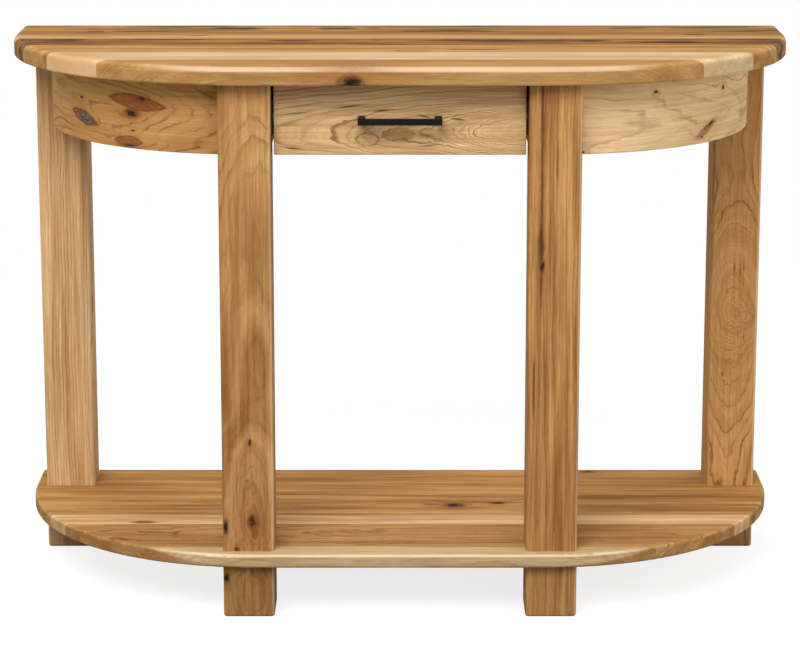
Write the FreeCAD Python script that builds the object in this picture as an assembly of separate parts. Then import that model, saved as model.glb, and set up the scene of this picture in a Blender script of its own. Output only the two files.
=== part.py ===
import FreeCAD, Part
import math
import os
from FreeCAD import Vector

# Half-moon hall table with a lower shelf and one drawer.
# Millimetres, +Z up, the origin on the floor under the middle of the top, the front towards -Y.

# Whole table
overall_width = 1092.0
overall_depth = 422.0
overall_height = 762.0
front_flat_width = 392.0  # straight middle of the front edge, between the two corner arcs

# Top, glued up from boards that run from side to side
top_thickness = 25.4
top_upper_round = 9.5
top_lower_round = 3.0
top_front_joints = (67.5, 141.5)  # glue lines, from the front edge
top_middle_joint_share = 0.52  # of the way between the glue lines on either side
top_back_joints = (143.5, 71.7)  # glue lines, from the back edge

# Shelf, the same outline set in at the front and the sides, glued up in the same way
shelf_thickness = 19.0
shelf_inset = 12.0
shelf_upper_round = 4.5
shelf_lower_round = 3.0
shelf_front_joints = (37.0, 139.5)
shelf_middle_joint_share = 0.31
shelf_back_joints = (131.0, 37.0)

# Legs above the shelf and feet below it, of one square section
leg_width = 69.8
leg_edge_round = 4.5
foot_height = 75.0
back_leg_setback = 12.0  # from the back edge of the top to the rear faces of the back legs

# Aprons, with the legs centred on them
apron_height = 100.0
apron_thickness = 20.0
apron_inset = 52.5  # from the edge of the top to the outer face
apron_edge_round = 1.5

# Drawer opening between the front legs, and the rails behind them that carry the slides
drawer_opening = 342.0
rail_thickness = 19.0
rail_lift = 9.5  # lower edge above that of the aprons

# Drawer front and box
drawer_front_thickness = 19.0
drawer_side_gap = 3.5
drawer_top_gap = 3.0
drawer_front_round = 1.5
drawer_box_thickness = 12.0
drawer_box_lift = 9.4  # lower edge above that of the drawer front
drawer_box_headroom = 15.6
drawer_back_clearance = 38.6
drawer_bottom_thickness = 6.0
drawer_bottom_groove = 6.0  # depth in the sides
drawer_bottom_lift = 8.0  # above the lower edge of the box
drawer_bottom_clearance = 0.15

# Dovetailed corners of the box
tail_count = 3
tail_end_share = 0.7  # of the pitch, at the end of the side
tail_root_share = 0.45  # of the pitch, where the tail grows out of the side
dovetail_clearance = 0.1

# Bar pull
pull_length = 111.5
pull_post_width = 9.9
pull_bar_height = 8.0
pull_bar_depth = 9.5
pull_projection = 32.0
pull_edge_round = 0.8

# Telescopic slides
slide_height = 45.0
slide_thickness = 12.7
slide_setback = 2.5  # from the ends of the box
slide_sheet = 1.2
slide_running_gap = 0.35
slide_web_gap = 2.2  # room for screw heads between the outer and the middle member
slide_lip = 3.7
slide_brim_gap = 1.1  # room between the middle member's web and the inner member's brims
slide_bend_round = 0.8

# Dowels
leg_dowel_diameter = 12.0
leg_dowel_depth = 30.0  # in the leg and in the foot
leg_dowel_place_share = 0.24  # of the leg's width, either side of its middle
apron_dowel_diameter = 8.0
apron_dowel_depth = 20.0
rail_dowel_diameter = 8.0
rail_dowel_depth = 14.0
dowel_height_shares = (0.3, 0.7)
dowel_clearance = 0.1
dowel_end_space = 0.5

# Figure-8 plates that hold the top to the aprons
plate_thickness = 2.5
plate_lobe_diameter = 16.0
plate_lobe_spacing = 14.0
plate_edge_distance = 8.0  # lobe in the apron, from the apron's inner face
plate_clearance = 0.2
plate_arc_shares = (0.3, 0.7)  # along the quarter circle of each side apron
plate_back_share = 0.6  # along the back apron, from its middle to the leg

# Screws
plate_screw_diameter = 3.5
plate_screw_length = 16.0
plate_screw_head = 7.0
front_screw_diameter = 4.0
front_screw_length = 26.0
front_screw_head = 8.0
front_screw_across_share = 0.72  # of half the width of the box
front_screw_height_shares = (0.3, 0.7)
slide_screw_diameter = 3.0
slide_screw_head = 6.0
slide_screw_head_height = 1.6
slide_rail_screw_length = 14.0
slide_drawer_screw_length = 9.5
slide_screw_shares = (0.5, 0.9)  # along the slide, behind the screw at its front end
pull_screw_diameter = 4.0
pull_screw_head = 8.0
pull_screw_head_height = 2.4
pull_screw_grip = 11.0  # in the post of the pull
screw_clearance = 0.1

cut_overrun = 2.0
match_tolerance = 0.001

# Places worked out from the sizes above
front_edge = -overall_depth / 2
back_edge = overall_depth / 2
corner_radius = (overall_width - front_flat_width) / 2
arc_centre_x = front_flat_width / 2
arc_centre_y = front_edge + corner_radius

shelf_low = foot_height
shelf_high = foot_height + shelf_thickness
top_low = overall_height - top_thickness
apron_low = top_low - apron_height

apron_middle_inset = apron_inset + apron_thickness / 2
leg_inset = apron_middle_inset - leg_width / 2
front_leg_front = front_edge + leg_inset
front_leg_rear = front_leg_front + leg_width
front_leg_inner = drawer_opening / 2
front_leg_outer = front_leg_inner + leg_width
back_leg_rear = back_edge - back_leg_setback
back_leg_front = back_leg_rear - leg_width
back_leg_outer = overall_width / 2 - leg_inset
back_leg_inner = back_leg_outer - leg_width

back_apron_middle = back_leg_rear - leg_width / 2
back_apron_front = back_apron_middle - apron_thickness / 2
back_apron_rear = back_apron_middle + apron_thickness / 2
rail_low = apron_low + rail_lift

drawer_face = front_edge + apron_inset
drawer_half_width = front_leg_inner - drawer_side_gap
drawer_high = top_low - drawer_top_gap
box_front = drawer_face + drawer_front_thickness
box_back = back_apron_front - drawer_back_clearance
box_half_width = front_leg_inner - slide_thickness
box_inner_half = box_half_width - drawer_box_thickness
box_low = apron_low + drawer_box_lift
box_high = top_low - drawer_box_headroom
box_height = box_high - box_low
slide_front = box_front + slide_setback
slide_back = box_back - slide_setback
slide_length = slide_back - slide_front
slide_middle_height = (box_low + box_high) / 2
pull_height = (apron_low + drawer_high) / 2
pull_post_place = (pull_length - pull_post_width) / 2


def block(x_low, x_high, y_low, y_high, z_low, z_high):
    return Part.makeBox(x_high - x_low, y_high - y_low, z_high - z_low, Vector(x_low, y_low, z_low))


def mirrored(shape):
    return shape.mirror(Vector(0, 0, 0), Vector(1, 0, 0))


def pin(place, axis, diameter, length, spread):
    # Round rod along an axis, grown all round by a spread; the place is the middle of its length.
    start = place - axis * (length / 2)
    return Part.makeCylinder(diameter / 2 + spread, length, start, axis)


def turned(profile, place, axis):
    # Solid of revolution from (radius, height) points, standing at a place along an axis.
    corners = [Vector(radius, 0, height) for radius, height in profile]
    face = Part.Face(Part.makePolygon(corners + corners[:1]))
    solid = face.revolve(Vector(0, 0, 0), Vector(0, 0, 1))
    solid.Placement = FreeCAD.Placement(place, FreeCAD.Rotation(Vector(0, 0, 1), axis))
    return solid


def flush_screw(place, axis, diameter, length, head, spread):
    # Countersunk wood screw: the place is the middle of its flat head, the axis points from tip to head.
    radius = diameter / 2 + spread
    head_radius = head / 2 + spread
    cone = head_radius - radius
    profile = [(0, -length - spread), (radius, -length - spread), (radius, -cone), (head_radius, 0), (0, 0)]
    return turned(profile, place, axis)


def head_screw(place, axis, diameter, length, head, head_height, spread):
    # Screw with a flat-seated head: the place is its seat, the axis points from tip to head.
    radius = diameter / 2 + spread
    head_radius = head / 2
    profile = [(0, -length - spread), (radius, -length - spread), (radius, 0),
               (head_radius, 0), (head_radius, head_height), (0, head_height)]
    return turned(profile, place, axis)


def edges_at_height(solid, height):
    return [edge for edge in solid.Edges
            if all(abs(corner.Z - height) < match_tolerance for corner in edge.Vertexes)]


def upright_edges(solid):
    return [edge for edge in solid.Edges if len(edge.Vertexes) == 2
            and abs(edge.Vertexes[0].X - edge.Vertexes[1].X) < match_tolerance
            and abs(edge.Vertexes[0].Y - edge.Vertexes[1].Y) < match_tolerance]


def long_half_moon(inset, z_low, z_high):
    # Slab of the half-moon outline, set in at the front and the sides, and left long at the back.
    radius = corner_radius - inset
    half_width = overall_width / 2 - inset
    front = front_edge + inset
    reach = max(arc_centre_y, back_edge) + corner_radius
    diagonal = radius * math.sqrt(0.5)
    front_right = Vector(arc_centre_x, front, z_low)
    arc_right = Vector(arc_centre_x + diagonal, arc_centre_y - diagonal, z_low)
    side_right = Vector(half_width, arc_centre_y, z_low)
    back_right = Vector(half_width, reach, z_low)
    back_left = Vector(-half_width, reach, z_low)
    side_left = Vector(-half_width, arc_centre_y, z_low)
    arc_left = Vector(-arc_centre_x - diagonal, arc_centre_y - diagonal, z_low)
    front_left = Vector(-arc_centre_x, front, z_low)
    outline = Part.Wire([
        Part.makeLine(front_left, front_right),
        Part.Arc(front_right, arc_right, side_right).toShape(),
        Part.makeLine(side_right, back_right),
        Part.makeLine(back_right, back_left),
        Part.makeLine(back_left, side_left),
        Part.Arc(side_left, arc_left, front_left).toShape(),
    ])
    return Part.Face(outline).extrude(Vector(0, 0, z_high - z_low))


def sawn_back(slab, z_low, z_high):
    # Cuts a long slab straight at the back edge.
    room = block(-overall_width, overall_width, front_edge - cut_overrun, back_edge, z_low, z_high)
    return slab.common(room).Solids[0]


def half_moon(inset, z_low, z_high):
    return sawn_back(long_half_moon(inset, z_low, z_high), z_low, z_high)


def rounded_panel(inset, z_low, z_high, upper_round, lower_round):
    # Front and sides routed above and below, the back left square against the wall.
    slab = long_half_moon(inset, z_low, z_high)
    reach = max(corner.Y for corner in slab.Vertexes)
    for height, radius in ((z_high, upper_round), (z_low, lower_round)):
        routed = [edge for edge in edges_at_height(slab, height)
                  if min(corner.Y for corner in edge.Vertexes) < reach - match_tolerance]
        slab = slab.makeFillet(radius, routed)
    return sawn_back(slab, z_low, z_high)


def boards(panel, name, front, front_joints, middle_share, back_joints):
    # Cuts a panel along its glue lines, front board first.
    near_joints = [front + distance for distance in front_joints]
    far_joints = [back_edge - distance for distance in back_joints]
    middle_joint = near_joints[-1] + middle_share * (far_joints[0] - near_joints[-1])
    joints = [front - cut_overrun] + near_joints + [middle_joint] + far_joints + [back_edge + cut_overrun]
    box = panel.BoundBox
    pieces = {}
    for number, (near, far) in enumerate(zip(joints, joints[1:]), start=1):
        strip = block(box.XMin - cut_overrun, box.XMax + cut_overrun, near, far,
                      box.ZMin - cut_overrun, box.ZMax + cut_overrun)
        pieces[f"{name}_board_{number}"] = panel.common(strip).Solids[0]
    return pieces


def leg_corners():
    # Low corner in plan of each leg, by name.
    return {
        "front_left": (-front_leg_outer, front_leg_front),
        "front_right": (front_leg_inner, front_leg_front),
        "back_left": (-back_leg_outer, back_leg_front),
        "back_right": (back_leg_inner, back_leg_front),
    }


def apron_middle_y(x):
    # Middle line of the right apron, as a depth for a place across the table.
    radius = corner_radius - apron_middle_inset
    across = max(x - arc_centre_x, 0)
    return arc_centre_y - math.sqrt(radius ** 2 - across ** 2)


def apron_middle_x(y):
    radius = corner_radius - apron_middle_inset
    ahead = max(arc_centre_y - y, 0)
    return arc_centre_x + math.sqrt(radius ** 2 - ahead ** 2)


def leg_dowels(spread):
    length = shelf_thickness + 2 * (leg_dowel_depth + (dowel_end_space if spread else 0))
    middle = (shelf_low + shelf_high) / 2
    pins = []
    for x, y in leg_corners().values():
        for side in (-1, 1):
            across = x + leg_width / 2 + side * leg_dowel_place_share * leg_width
            place = Vector(across, y + leg_width / 2, middle)
            pins.append(pin(place, Vector(0, 0, 1), leg_dowel_diameter, length, spread))
    return pins


def apron_dowels(spread):
    length = 2 * (apron_dowel_depth + (dowel_end_space if spread else 0))
    across = Vector(1, 0, 0)
    along = Vector(0, 1, 0)
    front_y = apron_middle_y(front_leg_outer + apron_dowel_depth / 2)
    back_x = apron_middle_x(back_leg_front - apron_dowel_depth / 2)
    pins = []
    for share in dowel_height_shares:
        height = apron_low + share * apron_height
        for side in (-1, 1):
            spots = [(Vector(side * front_leg_outer, front_y, height), across),
                     (Vector(side * back_x, back_leg_front, height), along),
                     (Vector(side * back_leg_inner, back_apron_middle, height), across)]
            pins += [pin(place, axis, apron_dowel_diameter, length, spread) for place, axis in spots]
    return pins


def rail_dowels(spread):
    length = 2 * (rail_dowel_depth + (dowel_end_space if spread else 0))
    pins = []
    for share in dowel_height_shares:
        height = rail_low + share * (top_low - rail_low)
        for side in (-1, 1):
            across = side * (front_leg_inner + rail_thickness / 2)
            for y in (front_leg_rear, back_apron_front):
                place = Vector(across, y, height)
                pins.append(pin(place, Vector(0, 1, 0), rail_dowel_diameter, length, spread))
    return pins


def plate_places():
    # Middle of the lobe in the apron and the direction inwards to the lobe under the top.
    places = []
    radius = corner_radius - apron_inset - apron_thickness + plate_edge_distance
    for share in plate_arc_shares:
        angle = share * math.pi / 2
        for side in (-1, 1):
            outwards = Vector(side * math.sin(angle), -math.cos(angle), 0)
            centre = Vector(side * arc_centre_x, arc_centre_y, top_low)
            places.append((centre + outwards * radius, outwards * -1))
    for side in (-1, 1):
        x = side * plate_back_share * back_leg_inner
        places.append((Vector(x, back_apron_front + plate_edge_distance, top_low), Vector(0, -1, 0)))
    return places


def plate_blank(place, inwards, spread):
    down = Vector(0, 0, -1)
    radius = plate_lobe_diameter / 2 + spread
    outer = Part.makeCylinder(radius, plate_thickness, place, down)
    inner = Part.makeCylinder(radius, plate_thickness, place + inwards * plate_lobe_spacing, down)
    return outer.fuse(inner).removeSplitter()


def plate_screws(spread):
    # One screw down into the apron and one up into the top, for each plate.
    screws = []
    for place, inwards in plate_places():
        upper = place + inwards * plate_lobe_spacing - Vector(0, 0, plate_thickness)
        for spot, axis in ((place, Vector(0, 0, 1)), (upper, Vector(0, 0, -1))):
            screws.append(flush_screw(spot, axis, plate_screw_diameter, plate_screw_length,
                                      plate_screw_head, spread))
    return screws


def slide_rail_screws(spread):
    screws = []
    first = (slide_front + front_leg_rear) / 2
    spots = [first] + [slide_front + share * slide_length for share in slide_screw_shares]
    for side in (-1, 1):
        for y in spots:
            seat = Vector(side * (front_leg_inner - slide_sheet), y, slide_middle_height)
            screws.append(head_screw(seat, Vector(-side, 0, 0), slide_screw_diameter,
                                     slide_rail_screw_length, slide_screw_head,
                                     slide_screw_head_height, spread))
    return screws


def slide_drawer_screws(spread):
    screws = []
    first = (slide_front + front_leg_rear) / 2
    spots = [first] + [slide_front + share * slide_length for share in slide_screw_shares]
    for side in (-1, 1):
        for y in spots:
            seat = Vector(side * (box_half_width + slide_sheet), y, slide_middle_height)
            screws.append(head_screw(seat, Vector(side, 0, 0), slide_screw_diameter,
                                     slide_drawer_screw_length, slide_screw_head,
                                     slide_screw_head_height, spread))
    return screws


def drawer_front_screws(spread):
    screws = []
    for share in front_screw_height_shares:
        for side in (-1, 1):
            place = Vector(side * front_screw_across_share * box_half_width,
                           box_front + drawer_box_thickness, box_low + share * box_height)
            screws.append(flush_screw(place, Vector(0, 1, 0), front_screw_diameter, front_screw_length,
                                      front_screw_head, spread))
    return screws


def pull_screws(spread):
    length = drawer_box_thickness + drawer_front_thickness + pull_screw_grip
    screws = []
    for side in (-1, 1):
        seat = Vector(side * pull_post_place, box_front + drawer_box_thickness, pull_height)
        screws.append(head_screw(seat, Vector(0, 1, 0), pull_screw_diameter, length,
                                 pull_screw_head, pull_screw_head_height, spread))
    return screws


def top_pieces():
    panel = rounded_panel(0, top_low, overall_height, top_upper_round, top_lower_round)
    panel = panel.cut(Part.makeCompound(plate_screws(screw_clearance)))
    return boards(panel, "top", front_edge, top_front_joints, top_middle_joint_share, top_back_joints)


def shelf_pieces():
    panel = rounded_panel(shelf_inset, shelf_low, shelf_high, shelf_upper_round, shelf_lower_round)
    panel = panel.cut(Part.makeCompound(leg_dowels(dowel_clearance)))
    return boards(panel, "shelf", front_edge + shelf_inset,
                  shelf_front_joints, shelf_middle_joint_share, shelf_back_joints)


def leg_pieces():
    holes = leg_dowels(dowel_clearance) + apron_dowels(dowel_clearance) + rail_dowels(dowel_clearance)
    holes = Part.makeCompound(holes + slide_rail_screws(screw_clearance))
    pieces = {}
    for name, (x, y) in leg_corners().items():
        leg = block(x, x + leg_width, y, y + leg_width, shelf_high, top_low)
        leg = leg.makeFillet(leg_edge_round, upright_edges(leg))
        pieces[f"{name}_leg"] = leg.cut(holes).Solids[0]
        foot = block(x, x + leg_width, y, y + leg_width, 0, shelf_low)
        foot = foot.makeFillet(leg_edge_round, upright_edges(foot) + edges_at_height(foot, 0))
        pieces[f"{name}_foot"] = foot.cut(holes).Solids[0]
    return pieces


def side_apron():
    # The right one, a band of the half-moon from the front leg's side to the back leg's front.
    outer = half_moon(apron_inset, apron_low, top_low)
    inner = half_moon(apron_inset + apron_thickness, apron_low, top_low)
    room = block(front_leg_outer, overall_width, front_edge, back_leg_front, apron_low, top_low)
    apron = outer.cut(inner).common(room).Solids[0]
    long_edges = [edge for edge in edges_at_height(apron, apron_low)
                  if edge.Length > apron_thickness * 2]
    return apron.makeFillet(apron_edge_round, long_edges)


def apron_pieces():
    holes = apron_dowels(dowel_clearance) + rail_dowels(dowel_clearance) + plate_screws(screw_clearance)
    holes += [plate_blank(place, inwards, plate_clearance) for place, inwards in plate_places()]
    right = side_apron()
    back = block(-back_leg_inner, back_leg_inner, back_apron_front, back_apron_rear, apron_low, top_low)
    long_edges = [edge for edge in edges_at_height(back, apron_low) if edge.Length > apron_thickness * 2]
    back = back.makeFillet(apron_edge_round, long_edges)
    pieces = {"right_apron": right, "left_apron": mirrored(right), "back_apron": back}
    for name, apron in pieces.items():
        for hole in holes:
            apron = apron.cut(hole)
        pieces[name] = apron.Solids[0]
    return pieces


def rail_pieces():
    holes = Part.makeCompound(rail_dowels(dowel_clearance) + slide_rail_screws(screw_clearance))
    right = block(front_leg_inner, front_leg_inner + rail_thickness,
                  front_leg_rear, back_apron_front, rail_low, top_low)
    return {"right_drawer_rail": right.cut(holes).Solids[0],
            "left_drawer_rail": mirrored(right).cut(holes).Solids[0]}


def slide_section(points, bends):
    # Rolled steel section of the right slide, drawn from the rail towards the drawer, run along the slide.
    corners = [Vector(front_leg_inner - reach, slide_front, slide_middle_height + height)
               for reach, height in points]
    solid = Part.Face(Part.makePolygon(corners + corners[:1])).extrude(Vector(0, slide_length, 0))
    rounded = []
    for reach, height in bends:
        for edge in solid.Edges:
            middle = edge.CenterOfMass
            beside = abs(middle.x - front_leg_inner + reach) + abs(middle.z - slide_middle_height - height)
            if beside < match_tolerance and edge.Length > slide_length / 2:
                rounded.append(edge)
    return solid.makeFillet(slide_bend_round, rounded)


def lipped_channel(web, mouth, half_height):
    # Channel open towards the drawer with lips turned in at its mouth.
    inside = half_height - slide_sheet
    lip_end = half_height - slide_lip
    half = [(web, half_height), (mouth, half_height), (mouth, lip_end), (mouth - slide_sheet, lip_end),
            (mouth - slide_sheet, inside), (web + slide_sheet, inside)]
    lower = [(reach, -height) for reach, height in reversed(half)]
    bends = [(web, half_height), (mouth, half_height), (web, -half_height), (mouth, -half_height)]
    return slide_section(half + lower, bends)


def top_hat(brim, crown, half_height, half_crown):
    # Hat section with its crown on the drawer and its brims inside the middle member.
    shoulder = half_crown - slide_sheet
    half = [(brim, shoulder), (brim, half_height), (brim + slide_sheet, half_height),
            (brim + slide_sheet, half_crown), (crown, half_crown)]
    lower = [(reach, -height) for reach, height in reversed(half)]
    floor = [(crown - slide_sheet, -shoulder), (crown - slide_sheet, shoulder)]
    outline = half + lower[:-1] + [(brim, -shoulder)] + floor
    return slide_section(outline, [(crown, half_crown), (crown, -half_crown)])


def slide_pieces():
    outer_half = slide_height / 2
    middle_web = slide_sheet + slide_web_gap
    middle_half = outer_half - slide_sheet - slide_running_gap
    brim = middle_web + slide_sheet + slide_brim_gap
    middle_mouth = brim + slide_sheet + slide_running_gap + slide_sheet
    outer_mouth = middle_mouth + slide_running_gap + slide_sheet
    brim_half = middle_half - slide_sheet - slide_running_gap
    crown_half = middle_half - slide_lip - slide_running_gap
    rail_holes = Part.makeCompound(slide_rail_screws(screw_clearance))
    drawer_holes = Part.makeCompound(slide_drawer_screws(screw_clearance))
    outer = lipped_channel(0, outer_mouth, outer_half).cut(rail_holes).Solids[0]
    middle = lipped_channel(middle_web, middle_mouth, middle_half)
    inner = top_hat(brim, slide_thickness, brim_half, crown_half).cut(drawer_holes).Solids[0]
    pieces = {}
    for name, member in (("outer", outer), ("middle", middle), ("inner", inner)):
        pieces[f"right_slide_{name}"] = member
        pieces[f"left_slide_{name}"] = mirrored(member)
    return pieces


def tails(end, root, spread):
    # Dovetails of the right side at one end: wide at the end of the side, narrow at the root.
    pitch = box_height / tail_count
    prisms = []
    for number in range(tail_count):
        middle = box_low + (number + 0.5) * pitch
        end_half = tail_end_share * pitch / 2 + spread
        root_half = tail_root_share * pitch / 2 + spread
        outline = [(end, middle - end_half), (end, middle + end_half),
                   (root, middle + root_half), (root, middle - root_half)]
        corners = [Vector(box_inner_half, y, z) for y, z in outline]
        face = Part.Face(Part.makePolygon(corners + corners[:1]))
        prisms.append(face.extrude(Vector(drawer_box_thickness, 0, 0)))
    return prisms


def drawer_bottom(spread):
    half = box_inner_half + drawer_bottom_groove + spread
    inner_front = box_front + drawer_box_thickness
    inner_back = box_back - drawer_box_thickness
    front = inner_front - drawer_bottom_groove - spread
    back = inner_back + drawer_bottom_groove + spread
    low = box_low + drawer_bottom_lift
    return block(-half, half, front, back, low - spread, low + drawer_bottom_thickness + spread)


def drawer_box_pieces():
    inner_front = box_front + drawer_box_thickness
    inner_back = box_back - drawer_box_thickness
    groove = drawer_bottom(drawer_bottom_clearance)
    holes = Part.makeCompound(drawer_front_screws(screw_clearance) + pull_screws(screw_clearance)
                              + slide_drawer_screws(screw_clearance))
    side = block(box_inner_half, box_half_width, inner_front, inner_back, box_low, box_high)
    side = side.fuse(tails(box_front, inner_front, 0) + tails(box_back, inner_back, 0)).removeSplitter()
    side = side.cut(groove)
    pieces = {"drawer_right_side": side.cut(holes).Solids[0],
              "drawer_left_side": mirrored(side).cut(holes).Solids[0],
              "drawer_bottom": drawer_bottom(0)}
    for name, low, high, end, root in (("drawer_box_front", box_front, inner_front, box_front, inner_front),
                                       ("drawer_back", inner_back, box_back, box_back, inner_back)):
        board = block(-box_half_width, box_half_width, low, high, box_low, box_high)
        sockets = tails(end, root, dovetail_clearance)
        board = board.cut(sockets + [mirrored(socket) for socket in sockets])
        pieces[name] = board.cut(groove).cut(holes).Solids[0]
    return pieces


def drawer_front():
    board = block(-drawer_half_width, drawer_half_width, drawer_face, box_front, apron_low, drawer_high)
    face_edges = [edge for edge in board.Edges
                  if all(abs(corner.Y - drawer_face) < match_tolerance for corner in edge.Vertexes)]
    board = board.makeFillet(drawer_front_round, face_edges)
    holes = drawer_front_screws(screw_clearance) + pull_screws(screw_clearance)
    return board.cut(Part.makeCompound(holes)).Solids[0]


def drawer_pull():
    half = pull_length / 2
    low = pull_height - pull_bar_height / 2
    high = pull_height + pull_bar_height / 2
    front = drawer_face - pull_projection
    bar = block(-half, half, front, drawer_face, low, high)
    gap = block(pull_post_width - half, half - pull_post_width,
                front + pull_bar_depth, drawer_face + cut_overrun,
                low - cut_overrun, high + cut_overrun)
    pull = bar.cut(gap)
    seat_edges = [edge for edge in pull.Edges
                  if all(abs(corner.Y - drawer_face) < match_tolerance for corner in edge.Vertexes)]
    rounded = [edge for edge in pull.Edges if not any(edge.isSame(seat) for seat in seat_edges)]
    pull = pull.makeFillet(pull_edge_round, rounded)
    return pull.cut(Part.makeCompound(pull_screws(screw_clearance))).Solids[0]


def top_plates():
    screws = Part.makeCompound(plate_screws(screw_clearance))
    return [plate_blank(place, inwards, 0).cut(screws).Solids[0] for place, inwards in plate_places()]


def all_pieces():
    pieces = {}
    for group in (top_pieces, shelf_pieces, leg_pieces, apron_pieces,
                  rail_pieces, slide_pieces, drawer_box_pieces):
        pieces.update(group())
    pieces["drawer_front"] = drawer_front()
    pieces["drawer_pull"] = drawer_pull()
    groups = {
        "top_fasteners": top_plates(),
        "top_fastener_screws": plate_screws(0),
        "leg_dowels": leg_dowels(0),
        "apron_dowels": apron_dowels(0),
        "rail_dowels": rail_dowels(0),
        "slide_rail_screws": slide_rail_screws(0),
        "slide_drawer_screws": slide_drawer_screws(0),
        "drawer_front_screws": drawer_front_screws(0),
        "pull_screws": pull_screws(0),
    }
    pieces.update({name: Part.makeCompound(solids) for name, solids in groups.items()})
    return pieces


os.makedirs("parts", exist_ok=True)
for node, shape in all_pieces().items():
    shape.exportStep(f"parts/{node}.step")
    print(node, len(shape.Solids), round(shape.Volume), shape.isValid())
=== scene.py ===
import math
import bpy
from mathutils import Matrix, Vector

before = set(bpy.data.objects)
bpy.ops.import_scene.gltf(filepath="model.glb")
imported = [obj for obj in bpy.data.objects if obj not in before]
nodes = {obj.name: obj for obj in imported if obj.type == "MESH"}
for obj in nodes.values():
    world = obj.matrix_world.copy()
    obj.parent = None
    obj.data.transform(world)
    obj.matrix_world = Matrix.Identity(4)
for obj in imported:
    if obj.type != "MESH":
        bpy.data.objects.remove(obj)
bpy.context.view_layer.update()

print("frame loaded,", len(nodes), "pieces")


# sRGB colour as painted, 0 to 255, turned to what a colour socket takes
def paint(red, green, blue):
    def linear(level):
        level = level / 255
        return level / 12.92 if level <= 0.04045 else ((level + 0.055) / 1.055) ** 2.4
    return (linear(red), linear(green), linear(blue), 1.0)


# a socket takes a link from a flow, or a plain value
def plug(socket, value):
    if isinstance(value, Flow):
        value.tree.links.new(value.socket, socket)
    else:
        socket.default_value = value


# a number on its way through a node tree, so that patterns read as sums
class Flow:
    def __init__(self, tree, socket):
        self.tree = tree
        self.socket = socket

    def math(self, operation, *others):
        node = self.tree.nodes.new("ShaderNodeMath")
        node.operation = operation
        for socket, value in zip(node.inputs, (self, *others)):
            plug(socket, value)
        return Flow(self.tree, node.outputs[0])

    def __add__(self, other):
        return self.math("ADD", other)

    def __sub__(self, other):
        return self.math("SUBTRACT", other)

    def __mul__(self, other):
        return self.math("MULTIPLY", other)

    def __truediv__(self, other):
        return self.math("DIVIDE", other)

    def square(self):
        return self.math("MULTIPLY", self)

    def flip(self):  # 1 - value
        return self.math("MULTIPLY_ADD", -1.0, 1.0)

    def bell(self):  # 1 at zero, falling off like a bell
        return (self.square() * -1.0).math("EXPONENT")

    def step(self, low, high):  # soft step from 0 at low to 1 at high
        node = self.tree.nodes.new("ShaderNodeMapRange")
        node.interpolation_type = "SMOOTHSTEP"
        for socket, value in zip(node.inputs, (self, low, high)):
            plug(socket, value)
        return Flow(self.tree, node.outputs[0])

    def ridge(self, low, high, fall, end):  # up from low to high, down again from fall to end
        return self.step(low, high) * self.step(fall, end).flip()


def length(first, second):
    return (first.square() + second.square()).math("SQRT")


def combine(x, y, z):
    node = x.tree.nodes.new("ShaderNodeCombineXYZ")
    for socket, value in zip(node.inputs, (x, y, z)):
        plug(socket, value)
    return Flow(x.tree, node.outputs[0])


# how far one seed moves a pattern on each axis, and the numbers that rings draw
seedShift = (3.7, 5.3, 7.1)
drawShift = 13.7


# noise about 0.5 on a point that is stretched by scale and moved by seed
def noise(point, scale, seed, detail=2.0, roughness=0.5):
    tree = point.tree
    place = tree.nodes.new("ShaderNodeVectorMath")
    place.operation = "MULTIPLY_ADD"
    plug(place.inputs[0], point)
    place.inputs[1].default_value = scale
    place.inputs[2].default_value = [seed * shift for shift in seedShift]
    texture = tree.nodes.new("ShaderNodeTexNoise")
    tree.links.new(place.outputs[0], texture.inputs["Vector"])
    texture.inputs["Scale"].default_value = 1.0
    texture.inputs["Detail"].default_value = detail
    texture.inputs["Roughness"].default_value = roughness
    return Flow(tree, texture.outputs["Fac"])


def chance(value, seed):  # one random number for each whole number
    tree = value.tree
    texture = tree.nodes.new("ShaderNodeTexWhiteNoise")
    texture.noise_dimensions = "1D"
    plug(texture.inputs["W"], value + seed * drawShift)
    return Flow(tree, texture.outputs["Value"])


def mixed(factor, first, second, blend="MIX"):
    tree = next(value.tree for value in (factor, first, second) if isinstance(value, Flow))
    node = tree.nodes.new("ShaderNodeMix")
    node.data_type = "RGBA"
    node.blend_type = blend
    plug(node.inputs[0], factor)
    plug(node.inputs[6], first)  # 6 and 7 are its colours, and 2 its mixed colour
    plug(node.inputs[7], second)
    return Flow(tree, node.outputs[2])


def startMaterial(name):
    material = bpy.data.materials.new(name)
    material.use_nodes = True
    tree = material.node_tree
    shader = tree.nodes["Principled BSDF"]
    coordinates = tree.nodes.new("ShaderNodeTexCoord")
    split = tree.nodes.new("ShaderNodeSeparateXYZ")
    tree.links.new(coordinates.outputs["Object"], split.inputs[0])
    x, y, z = (Flow(tree, socket) for socket in split.outputs)
    return material, shader, x, y, z


def finishSurface(shader, colour, roughness, height, depth, strength=0.6):
    tree = colour.tree
    plug(shader.inputs["Base Color"], colour)
    plug(shader.inputs["Roughness"], roughness)
    bump = tree.nodes.new("ShaderNodeBump")
    bump.inputs["Strength"].default_value = strength
    bump.inputs["Distance"].default_value = depth
    plug(bump.inputs["Height"], height)
    tree.links.new(bump.outputs[0], shader.inputs["Normal"])


# where the side aprons' arcs are centred, either side of the middle, and the radius of their outer faces
apronArc = dict(x=0.196, y=0.139, radius=0.2975)


# along the grain, across the board and into it, in metres
def grainAxes(way, x, y, z):
    if way == "board":
        return x, y, z
    if way == "panel":
        return x, z, y
    if way == "post":
        return z, x, y
    if way == "rail":
        return y, z, x
    sideways = x.math("ABSOLUTE") - apronArc["x"]
    forwards = y * -1.0 + apronArc["y"]
    around = sideways.math("ARCTAN2", forwards) * apronArc["radius"]
    return around, z, length(sideways, forwards)


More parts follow.
